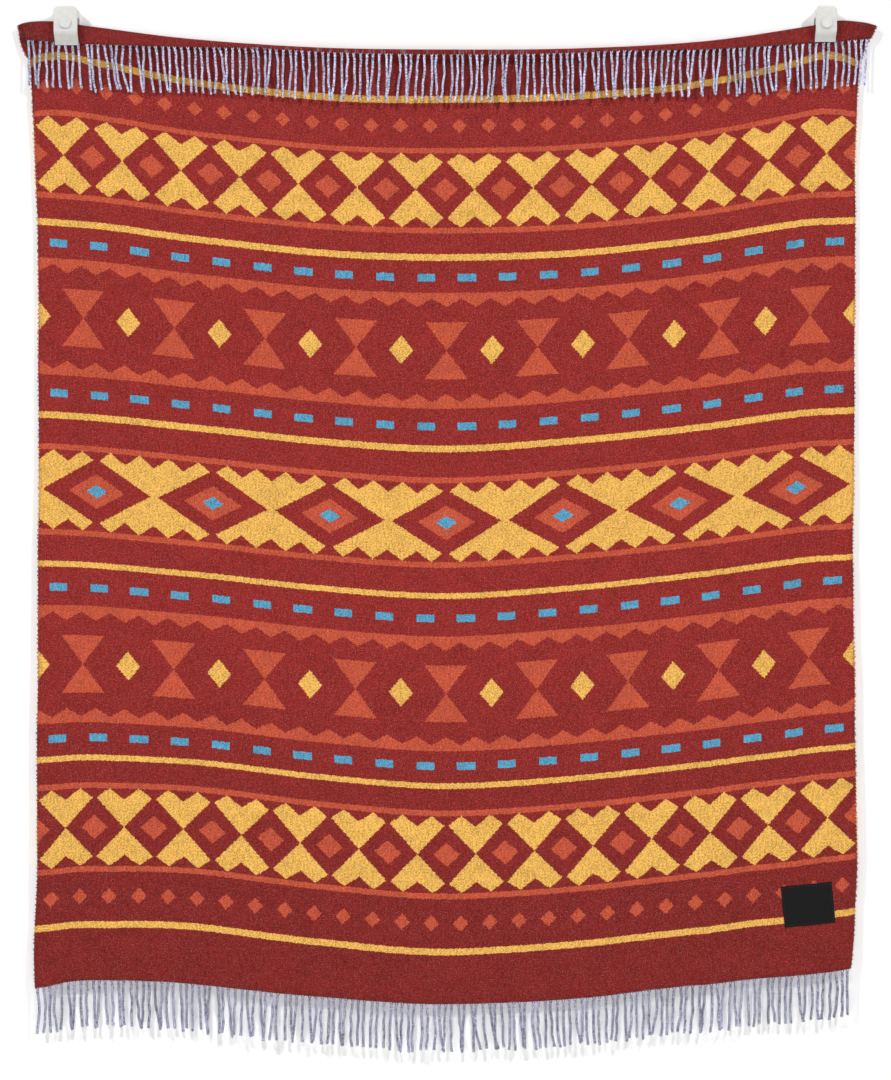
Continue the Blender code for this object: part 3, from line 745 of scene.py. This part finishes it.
loop_wool = selvage_yarn("selvage wool")
chance = np.random.default_rng(41)
for side, across, outward in (("left", 0.0, -1.0), ("right", 1.0, 1.0)):
    count = round(CLOTH_LENGTH / LOOP_PITCH)
    steps = np.arange(count * LOOP_POINTS + 1)
    spots = steps / LOOP_POINTS
    wander = np.interp(spots, np.arange(count + 1), chance.uniform(-LOOP_WANDER, LOOP_WANDER, count + 1))
    reach = np.interp(spots, np.arange(count + 1), chance.uniform(*LOOP_REACHES, count + 1))
    edge_along = np.clip((spots + wander) * LOOP_PITCH, LOOP_END, CLOTH_LENGTH - LOOP_END)
    edge = drape(across, edge_along)
    ahead = drape(across, edge_along + 0.5 * MM) - drape(across, edge_along - 0.5 * MM)
    ahead /= np.linalg.norm(ahead, axis=1)[:, None]
    out = np.array([outward, 0.0, 0.0])
    out = out - ahead * (ahead @ out)[:, None]
    out /= np.linalg.norm(out, axis=1)[:, None]
    up = np.cross(ahead, out)
    angle = 2 * np.pi * spots
    path = edge + out * ((LOOP_REACH * reach * np.cos(angle)) - LOOP_SUNK)[:, None]
    path = path + up * (LOOP_DEPTH * np.sin(angle))[:, None]
    marks = np.abs(edge_along / MM - HALF_LENGTH)
    yarn = yarn_mesh("loops", [path], [LOOP_YARN], sides=0, marks=[marks])
    loops = finished("selvage_loops_" + side, yarn, loop_wool)
    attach(loops, "root")


# The fringe: at each end the warp is twisted two and two into strands, which hang as they fall: they lean,
# bow, touch and cross. Each strand is two plies of hard-twisted wool round each other, which part a little at
# the root and are fuller at the loose tip.
STRANDS = 132
STRAND_LENGTH = 78 * MM
LENGTH_SPREAD = 1.9 * MM
STRAND_SEGMENTS = 54
STRAND_START = -2.0 * MM
STRAND_PITCH = CLOTH_WIDTH / STRANDS
ROOT_SPREAD = 0.0006
PLY_RADIUS = 1.05 * MM
PLY_OFFSET = 1.03 * MM
PLY_PARTING = 0.8 * MM
PARTED_LENGTH = 5 * MM
TWIST_PITCH = 9.0 * MM
TWIST_SPREAD = (0.88, 1.14)
TONE_SPREAD = 0.07
STRAND_DROOP = 6 * MM
# How far the tips lean to the right, in millimetres, at places from the left end of a fringe, 0, to its right
# end, 1.
TOP_LEANS = (
    (0, -1), (0.05, 2), (0.09, 8), (0.16, 5), (0.3, -1), (0.42, -4),
    (0.53, -3), (0.62, 2), (0.8, -1), (0.88, 4), (0.95, -3), (1, -2),
)
BOTTOM_LEANS = ((0, 1), (0.1, 2), (0.3, 0), (0.46, -1), (0.54, 5), (0.66, 2), (0.8, -3), (0.9, -1), (1, 0))
# How unevenly they lean and bow, and their waves: heights seen from the front and from the side, and turns.
LEAN_SPREAD = 1.9
BOW_SPREAD = 1.5
WAVES = (0.25, 0.8)
NODS = (0.2, 0.9)
TURNS = (1.2, 2.6)
# The share of neighbours that swing together, and how far their tips close up, in pitches of the fringe.
PAIR_SHARE = 0.24
CLOSING = (0.66, 1.25)
# Two strands begin to pass, the second in front, at the first of these distances, and have the whole gap
# between them at the second.
PASSING_FROM = 5.6 * MM
PASSING_DONE = 3.0 * MM
PASSING_GAP = 4.2 * MM
# The upper strands lie this far from the cloth, or settle towards it by this share where they hang free.
# Above a height near its fold the cloth counts as flat.
STRAND_TO_CLOTH = 2.2 * MM
STRAND_SETTLING = 0.6
FLAT_ABOVE = -42 * MM
# The shares of a strand's length where its tip gets fuller, and where it closes.
TIP_FROM = 0.93
TIP_CLOSES = 0.985


def twisted_wool(name, dye):
    """Hard-twisted wool yarn, heathered, with fine fibres along it."""
    material, tree, surface = new_material(name)
    place = in_millimetres(tree)
    # The yarn mark holds each strand's random tone, painted shade near its root, and its fringe's painted
    # tone.
    shade = add(tree, "Attribute", output="Fac", attribute_name="yarn mark")
    dyed = add(tree, "HueSaturation", {"Value": shade, "Color": dye})
    wool = add(tree, "Group", [place, dyed, 2.4, 1.9], node_tree=nap)
    yarn = {"Roughness": 0.9, "Specular IOR Level": 0.2, "Sheen Weight": 0.12}
    wool_coat(tree, surface, wool, 0.6, 0.45 * MM, yarn)
    return material


fringe_wool = twisted_wool("fringe wool", DYES["lilac"])


def fringe(name, node, along, seed, leans, tone, girth):
    """All the strands of the end that is this far along the cloth, as one piece."""
    chance = np.random.default_rng(seed)
    rank = np.arange(STRANDS)
    share = np.linspace(0, 1, STRAND_SEGMENTS + 1)[None, :]
    across = (rank + 0.5)[:, None] / STRANDS + chance.normal(0, ROOT_SPREAD, STRANDS)[:, None]
    length = STRAND_LENGTH + chance.normal(0, LENGTH_SPREAD, STRANDS)[:, None]
    run = STRAND_START + (length - STRAND_START) * share
    root = drape(across, along)
    inside = 1.5 * MM if along == 0 else -1.5 * MM
    outward = root - drape(across, along + inside)
    outward /= np.linalg.norm(outward, axis=-1)[..., None]
    free = np.maximum(run, 0)
    kept = np.where(run < 0, run, STRAND_DROOP * (1 - np.exp(-free / STRAND_DROOP)))
    point = root + outward * kept[..., None]
    point[..., 2] -= free - np.where(run < 0, 0, kept)

    lean = np.interp(rank / STRANDS, *np.transpose(leans))
    lean = (lean + chance.normal(0, LEAN_SPREAD, STRANDS)) * MM
    # Some neighbours swing together: their tips touch, or cross.
    k = 0
    while k < STRANDS - 2:
        k += 1
        if chance.random() < PAIR_SHARE:
            shared_lean = (lean[k] + lean[k + 1]) / 2
            closing = STRAND_PITCH * chance.uniform(*CLOSING)
            split = chance.uniform(0.3, 0.7)
            lean[k], lean[k + 1] = shared_lean + closing * split, shared_lean - closing * (1 - split)
            k += 1
    bow = chance.normal(0, BOW_SPREAD, STRANDS) * MM
    wave = chance.uniform(*WAVES, STRANDS) * MM
    turns, phase = chance.uniform(*TURNS, STRANDS), chance.uniform(0, 2 * np.pi, STRANDS)
    nod = chance.uniform(*NODS, STRANDS) * MM
    lean, bow, wave, nod, turns, phase = (value[:, None] for value in (lean, bow, wave, nod, turns, phase))
    part = free / length
    swing = 2 * np.pi * turns * part
    point[..., 0] += lean * part**1.8 + bow * np.sin(np.pi * part)
    point[..., 0] += wave * np.sin(swing + phase) * ease(part * 4)
    point[..., 1] += nod * np.sin(swing + 2 * phase) * ease(part * 4)

    # Where two strands meet, every second one passes in front.
    x = point[..., 0]
    beside = np.full_like(x, 1.0)
    beside[1:] = np.minimum(beside[1:], np.abs(x[1:] - x[:-1]))
    beside[:-1] = np.minimum(beside[:-1], np.abs(x[:-1] - x[1:]))
    near = ease((PASSING_FROM - beside) / (PASSING_FROM - PASSING_DONE))
    kernel = np.hanning(11) / np.hanning(11).sum()
    near = np.array([np.convolve(row, kernel, "same") for row in near])
    if along == 0:
        # Strands that would sink into the cloth lie on it, and those far in front of it settle towards it.
        front = on_body(point[..., 0], np.minimum(point[..., 2], FLAT_ABOVE))[..., 1] - CLOTH_THICKNESS / 2
        limit = front - STRAND_TO_CLOTH - PLY_OFFSET - PLY_RADIUS
        settled = np.where(point[..., 1] > limit, ease(part * 5), STRAND_SETTLING * ease(part))
        point[..., 1] += (limit - point[..., 1]) * settled
    point[1::2, :, 1] -= PASSING_GAP * near[1::2]

    paths, radii, marks = [], [], []
    tip = ease((part - TIP_FROM) / (1 - TIP_FROM))
    closed = ease((part - TIP_CLOSES) / (1 - TIP_CLOSES))
    tightness = chance.uniform(*TWIST_SPREAD, STRANDS)
    shade = tone * chance.normal(1.0, TONE_SPREAD, STRANDS)
    for k in rank:
        ahead = np.gradient(point[k], axis=0)
        ahead /= np.linalg.norm(ahead, axis=1)[:, None]
        side = np.cross(ahead, (0.0, 1.0, 0.0))
        side /= np.linalg.norm(side, axis=1)[:, None]
        other = np.cross(ahead, side)
        turned = free[k] ** 2 / (free[k] + PARTED_LENGTH)
        offset = girth * PLY_OFFSET * (1 + 0.25 * tip[k]) + PLY_PARTING * np.exp(-free[k] / PARTED_LENGTH)
        ends = (1 - 0.55 * closed[k]) * (0.6 + 0.4 * ease(run[k] / (2.5 * MM)))
        for ply in (0.0, np.pi):
            angle = 2 * np.pi * turned / (TWIST_PITCH * tightness[k]) + ply
            around = side * (offset * np.cos(angle))[:, None] + other * (offset * np.sin(angle))[:, None]
            paths.append(point[k] + around)
            radii.append(girth * PLY_RADIUS * (1 + 0.12 * tip[k]) * ends)
            # Painted shade: each ply is darker over its first few millimetres from the root.
            marks.append(shade[k] * (0.72 + 0.28 * ease(free[k] / (4 * MM))))
    strands = finished(name, yarn_mesh(name, paths, radii, marks=marks), fringe_wool)
    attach(strands, "root")
    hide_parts(node)
    return strands


# The two fringes' tones are painted light and shade: the same yarn, a little lighter at the top and darker at
# the lower end, where it gets less light.
top_fringe = fringe("top_fringe_strands", "fringe_top", 0.0, seed=3, leans=TOP_LEANS, tone=1.04, girth=1.08)
bottom_fringe = fringe(
    "bottom_fringe_strands", "fringe_bottom", CLOTH_LENGTH, seed=8, leans=BOTTOM_LEANS, tone=0.66, girth=1.34
)


# The label: a patch of close black ribbon, its edges turned under, sewn on near the lower right corner by
# running stitches of black thread. It is bare.
LABEL_PLACE = (604 * MM, -1468 * MM)
LABEL_WIDTH = 85 * MM
LABEL_HEIGHT = 68.5 * MM
LABEL_THICKNESS = 0.9 * MM
LABEL_TURN = math.radians(5.9)
LABEL_CLEAR = 0.35 * MM
LABEL_CELLS = (34, 28)
LABEL_ROUND = 0.3 * MM
STITCH_INSET = 2.6 * MM
STITCH_LENGTH = 2.7 * MM
STITCH_PITCH = 4.2 * MM
STITCH_POINTS = 7
STITCH_YARN = 0.24 * MM
# The seam draws the patch down. Inside it the patch puffs up in slow waves, given in radians a metre.
SEAM_DEPTH = 0.30 * MM
SEAM_WIDTH = 1.8 * MM
PUFF_HEIGHT = 0.35 * MM
PUFF_MARGIN = 14 * MM
PUFF_WAVES = (90, 70)


def on_label(flat_x, flat_z, off):
    """Places on the label, from its own flat ones, this far in front of the cloth."""
    x = LABEL_PLACE[0] + flat_x * math.cos(LABEL_TURN) - flat_z * math.sin(LABEL_TURN)
    z = LABEL_PLACE[1] + flat_x * math.sin(LABEL_TURN) + flat_z * math.cos(LABEL_TURN)
    y = on_body(x, z)[..., 1] - CLOTH_THICKNESS / 2 - off
    return np.stack([x, y, z], -1)


ribbon, tree, surface = new_material("label ribbon")
place = in_millimetres(tree, "flat label")
parts = add(tree, "SeparateXYZ", [place])
ribs = work(tree, "SINE", work(tree, "MULTIPLY", parts.node.outputs["Y"], 6.0))
ends = work(tree, "SINE", work(tree, "MULTIPLY", parts, 9.0))
cells = work(tree, "ADD", work(tree, "MULTIPLY", ribs, 0.5), work(tree, "MULTIPLY", ends, 0.3))
specks = add(tree, "TexNoise", {"Vector": place, "Scale": 0.7, "Detail": 3})
tone = work(tree, "ADD", specks, work(tree, "MULTIPLY", cells, 0.12))
tone = add(tree, "MapRange", [tone, 0.3, 0.75, 0.0, 1.0])
colour = mix(tree, tone, (0.0045, 0.0045, 0.0050, 1), (0.0105, 0.0105, 0.0115, 1))
shader = {"Base Color": colour, "Roughness": 0.78, "Specular IOR Level": 0.16}
coat(tree, surface, work(tree, "ADD", cells, specks), 0.4, 0.25 * MM, shader)

bm = bmesh.new()
flat_label = bm.loops.layers.uv.new("flat label")
bmesh.ops.create_grid(bm, x_segments=LABEL_CELLS[0], y_segments=LABEL_CELLS[1], size=0.5)
flat = np.array([(vert.co.x * LABEL_WIDTH, vert.co.y * LABEL_HEIGHT) for vert in bm.verts])
to_edge = np.minimum(LABEL_WIDTH / 2 - np.abs(flat[:, 0]), LABEL_HEIGHT / 2 - np.abs(flat[:, 1]))
sewn_down = SEAM_DEPTH * np.exp(-(((to_edge - STITCH_INSET) / SEAM_WIDTH) ** 2))
waves = np.sin(PUFF_WAVES[0] * flat[:, 0] + 2) * np.cos(PUFF_WAVES[1] * flat[:, 1])
puff = PUFF_HEIGHT * ease(to_edge / PUFF_MARGIN) * np.abs(waves)
off = LABEL_CLEAR + LABEL_THICKNESS / 2 + SEAM_DEPTH - sewn_down + puff
bm.verts.index_update()
for face in bm.faces:
    for loop in face.loops:
        loop[flat_label].uv = flat[loop.vert.index]
for vert, point in zip(bm.verts, on_label(flat[:, 0], flat[:, 1], off)):
    vert.co = point
label = finished("label_patch", bm, ribbon)
thickness = label.modifiers.new("Thickness", "SOLIDIFY")
thickness.thickness = LABEL_THICKNESS
thickness.offset = 0.0
rounding = label.modifiers.new("Turned edge", "BEVEL")
rounding.width = LABEL_ROUND
rounding.segments = 2
rounding.limit_method = "ANGLE"
rounding.angle_limit = math.radians(50)
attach(label, "root")
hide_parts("label")

stitches = []
half = np.array([LABEL_WIDTH / 2 - STITCH_INSET, LABEL_HEIGHT / 2 - STITCH_INSET])
corners = np.array([(-1, -1), (1, -1), (1, 1), (-1, 1), (-1, -1)]) * half
for start, end in zip(corners, corners[1:]):
    side = np.linalg.norm(end - start)
    count = round(side / STITCH_PITCH)
    for k in range(count):
        middle = (k + 0.5) / count
        reach = STITCH_LENGTH / side / 2
        at = start + (end - start) * np.linspace(middle - reach, middle + reach, STITCH_POINTS)[:, None]
        bow = 1.3 * np.sin(np.linspace(0, np.pi, STITCH_POINTS)) - 0.5
        lift = LABEL_CLEAR + LABEL_THICKNESS + STITCH_YARN * bow
        stitches.append(on_label(at[:, 0], at[:, 1], lift))
thread, tree, surface = new_material("label thread")
fibres = add(tree, "TexNoise", {"Vector": in_millimetres(tree), "Scale": 3.0, "Detail": 2})
tone = add(tree, "MapRange", [fibres, 0.3, 0.7, 0.0, 1.0])
colour = mix(tree, tone, (0.007, 0.007, 0.008, 1), (0.022, 0.022, 0.025, 1))
coat(tree, surface, fibres, 0.4, 0.1 * MM, {"Base Color": colour, "Roughness": 0.5})
stitching = finished("label_stitches", yarn_mesh("stitches", stitches, [STITCH_YARN] * len(stitches)), thread)
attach(stitching, "root")


# The clips: moulded in warm white plastic, a wall part and a sprung front jaw on a cross pin. The blanket
# hangs from them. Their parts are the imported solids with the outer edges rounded, and the pins are added.
EDGE_ROUND = 0.6 * MM
EDGE_ANGLE = math.radians(40)
PIN_RADIUS = 1.7 * MM
PIN_PROUD = 0.5 * MM
PIN_ROUND = 0.35 * MM
PIN_PLACE = (-15.2 * MM, 21 * MM)
# The jaws bend inwards between these heights, in millimetres, and below them they are painted greyer, as
# painted shade, because they look greyer in the photo than the lamps here make them.
BEND_HEIGHTS = (-18.0, -11.0)
BEND_PAINTED_SHADE = 0.80
SPECK = (0.42, 0.40, 0.37, 1)


def moulded_plastic(name, dark, light):
    """Warm white plastic, a little cloudy, with a fine grain and a few specks, and painted shade below the
    jaws' bend.
    """
    material, tree, surface = new_material(name)
    place = in_millimetres(tree)
    grain = add(tree, "TexNoise", {"Vector": place, "Scale": 1.6, "Detail": 4, "Roughness": 0.6})
    cloudy = add(tree, "TexNoise", {"Vector": place, "Scale": 0.11, "Detail": 3, "Roughness": 0.6})
    tone = add(tree, "MapRange", [cloudy, 0.3, 0.7, 0.0, 1.0])
    specks = add(tree, "TexNoise", {"Vector": place, "Scale": 0.9, "Detail": 1})
    specks = add(tree, "MapRange", [specks, 0.70, 0.74, 0.0, 0.35])
    colour = mix(tree, specks, mix(tree, tone, dark, light), SPECK)
    height = add(tree, "SeparateXYZ", [place], output="Z")
    painted_bend_shade = add(tree, "MapRange", [height, *BEND_HEIGHTS, BEND_PAINTED_SHADE, 1.0])
    colour = add(tree, "HueSaturation", {"Value": painted_bend_shade, "Color": colour})
    gloss = add(tree, "MapRange", [cloudy, 0.3, 0.7, 0.38, 0.52])
    shader = {"Base Color": colour, "Roughness": gloss, "Specular IOR Level": 0.45}
    coat(tree, surface, grain, 0.25, 0.12 * MM, shader)
    return material


jaw_plastic = moulded_plastic("clip plastic, jaw", (0.645, 0.635, 0.605, 1), (0.715, 0.705, 0.68, 1))
# The wall part is the same plastic painted darker, as painted shade, so that its side face looks greyer than
# the jaw's front.
base_plastic_in_painted_shade = moulded_plastic("clip plastic, wall part, in painted shade", (0.47, 0.46, 0.445, 1), (0.53, 0.52, 0.505, 1))
for side in ("left", "right"):
    for kind, plastic in (("_base", base_plastic_in_painted_shade), ("_jaw", jaw_plastic)):
        node = "clip_" + side + kind
        bm = bmesh.new()
        bm.from_mesh(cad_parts[node].data)
        bmesh.ops.remove_doubles(bm, verts=bm.verts, dist=MM / 1000)
        bmesh.ops.dissolve_limit(bm, angle_limit=math.radians(1), verts=bm.verts, edges=bm.edges)
        outer = [edge for edge in bm.edges if edge.is_convex and edge.calc_face_angle() > EDGE_ANGLE]
        bmesh.ops.bevel(
            bm, geom=outer, offset=EDGE_ROUND, segments=3, profile=0.5, affect="EDGES", material=-1,
            clamp_overlap=True,
        )
        part = finished(node + "_moulded", bm, plastic)
        part.data.set_sharp_from_angle(angle=EDGE_ANGLE)
        flat_faces = part.modifiers.new("Flat faces", "WEIGHTED_NORMAL")
        flat_faces.keep_sharp = True
        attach(part, "root")
        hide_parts(node)

for side in ("left", "right"):
    low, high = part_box("clip_" + side + "_base")
    reach = high.x - low.x + 2 * PIN_PROUD
    bm = bmesh.new()
    bmesh.ops.create_cone(bm, cap_ends=True, segments=28, radius1=PIN_RADIUS, radius2=PIN_RADIUS, depth=reach)
    rim = [edge for edge in bm.edges if abs(edge.verts[0].co.z - edge.verts[1].co.z) < MM / 100]
    bmesh.ops.bevel(bm, geom=rim, offset=PIN_ROUND, segments=2, profile=0.5, affect="EDGES", material=-1)
    bmesh.ops.rotate(bm, verts=bm.verts, matrix=Matrix.Rotation(math.pi / 2, 3, "Y"))
    bmesh.ops.translate(bm, verts=bm.verts, vec=((low.x + high.x) / 2, *PIN_PLACE))
    pin = finished("clip_" + side + "_pin", bm, jaw_plastic)
    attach(pin, "root")

bpy.context.view_layer.update()
